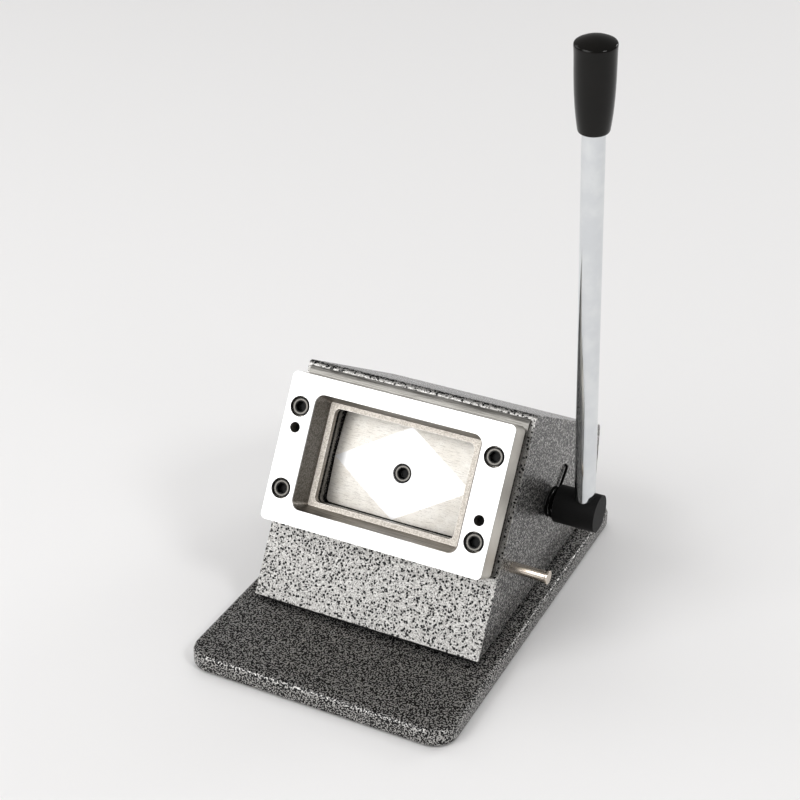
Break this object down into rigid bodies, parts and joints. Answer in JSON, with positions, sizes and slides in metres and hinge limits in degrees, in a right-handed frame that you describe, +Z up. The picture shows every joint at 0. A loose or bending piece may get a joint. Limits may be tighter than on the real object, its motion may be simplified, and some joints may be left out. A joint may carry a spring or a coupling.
{
  "type": "card cutter",
  "caption": "Hand-lever punch that cuts a plastic ID card from a sheet: leaning die plate and wedge-shaped housing on a flat base plate, tall side lever with a black grip.",
  "frame": {"origin": "Centre of the underside of the base, on the table.", "axes": "+X across the machine towards the lever, +Y to the back, +Z up."},
  "size_m": [0.1828, 0.25, 0.351],
  "materials": {
    "base_plate": "dark hammer paint",
    "base_pad": "matt",
    "base_screws": "zinc plated",
    "housing_gasket": "matt",
    "housing": "silver hammer paint",
    "rear_cover": "dark hammer paint",
    "cover_screws": "black oxide",
    "guide_plate": "ground",
    "slot_spacers": "turned",
    "front_die": "satin ground",
    "die_screws": "black oxide",
    "die_dowels": "ground",
    "guide_posts": "ground and polished",
    "bush_right": "turned bronze",
    "bush_left": "turned bronze",
    "stop_pin": "polished",
    "stop_pin_nut": "zinc plated",
    "torsion_spring": "oiled spring wire",
    "cam_shaft": "ground",
    "eccentric": "hardened",
    "eccentric_key": "bright",
    "shaft_collar": "zinc plated",
    "thrust_washer": "turned bronze",
    "retaining_ring": "black oxide",
    "lever_hub": "black",
    "grub_screws": "black oxide",
    "lever_bar": "polished",
    "lever_grip": "gloss black",
    "ram": "machined",
    "punch": "ground",
    "punch_screw": "black oxide",
    "punch_dowels": "ground"
  },
  "bodies": {
    "frame": {"base_plate": "base_plate", "base_pad": "base_pad", "base_screws": "base_screws", "housing_gasket": "housing_gasket", "housing": "housing", "rear_cover": "rear_cover", "cover_screws": "cover_screws", "guide_plate": "guide_plate", "slot_spacers": "slot_spacers", "front_die": "front_die", "die_screws": "die_screws", "die_dowels": "die_dowels", "guide_posts": "guide_posts", "bush_right": "bush_right", "bush_left": "bush_left", "stop_pin": "stop_pin", "stop_pin_nut": "stop_pin_nut", "torsion_spring": "torsion_spring"},
    "lever": {"cam_shaft": "cam_shaft", "eccentric": "eccentric", "eccentric_key": "eccentric_key", "shaft_collar": "shaft_collar", "thrust_washer": "thrust_washer", "retaining_ring": "retaining_ring", "lever_hub": "lever_hub", "grub_screws": "grub_screws", "lever_bar": "lever_bar", "lever_grip": "lever_grip"},
    "ram": {"ram": "ram", "punch": "punch", "punch_screw": "punch_screw", "punch_dowels": "punch_dowels"}
  },
  "joints": [
    {"name": "lever_swing", "type": "hinge", "parent": "frame", "child": "lever", "pos_m": [0, 0.0317, 0.06356], "axis": [1, 0, 0], "range_deg": [0, 85.5], "stiffness_Nm_per_rad": 0.7, "springref_deg": -17.19, "deforming": ["torsion_spring"]},
    {"name": "punch_slide", "type": "slide", "parent": "frame", "child": "ram", "axis": [0, -0.866, 0.5], "range_m": [0, 0.01291]}
  ],
  "couplings": [
    {"joint": "punch_slide", "follows": "lever_swing", "m_per_rad": 0.008643}
  ]
}
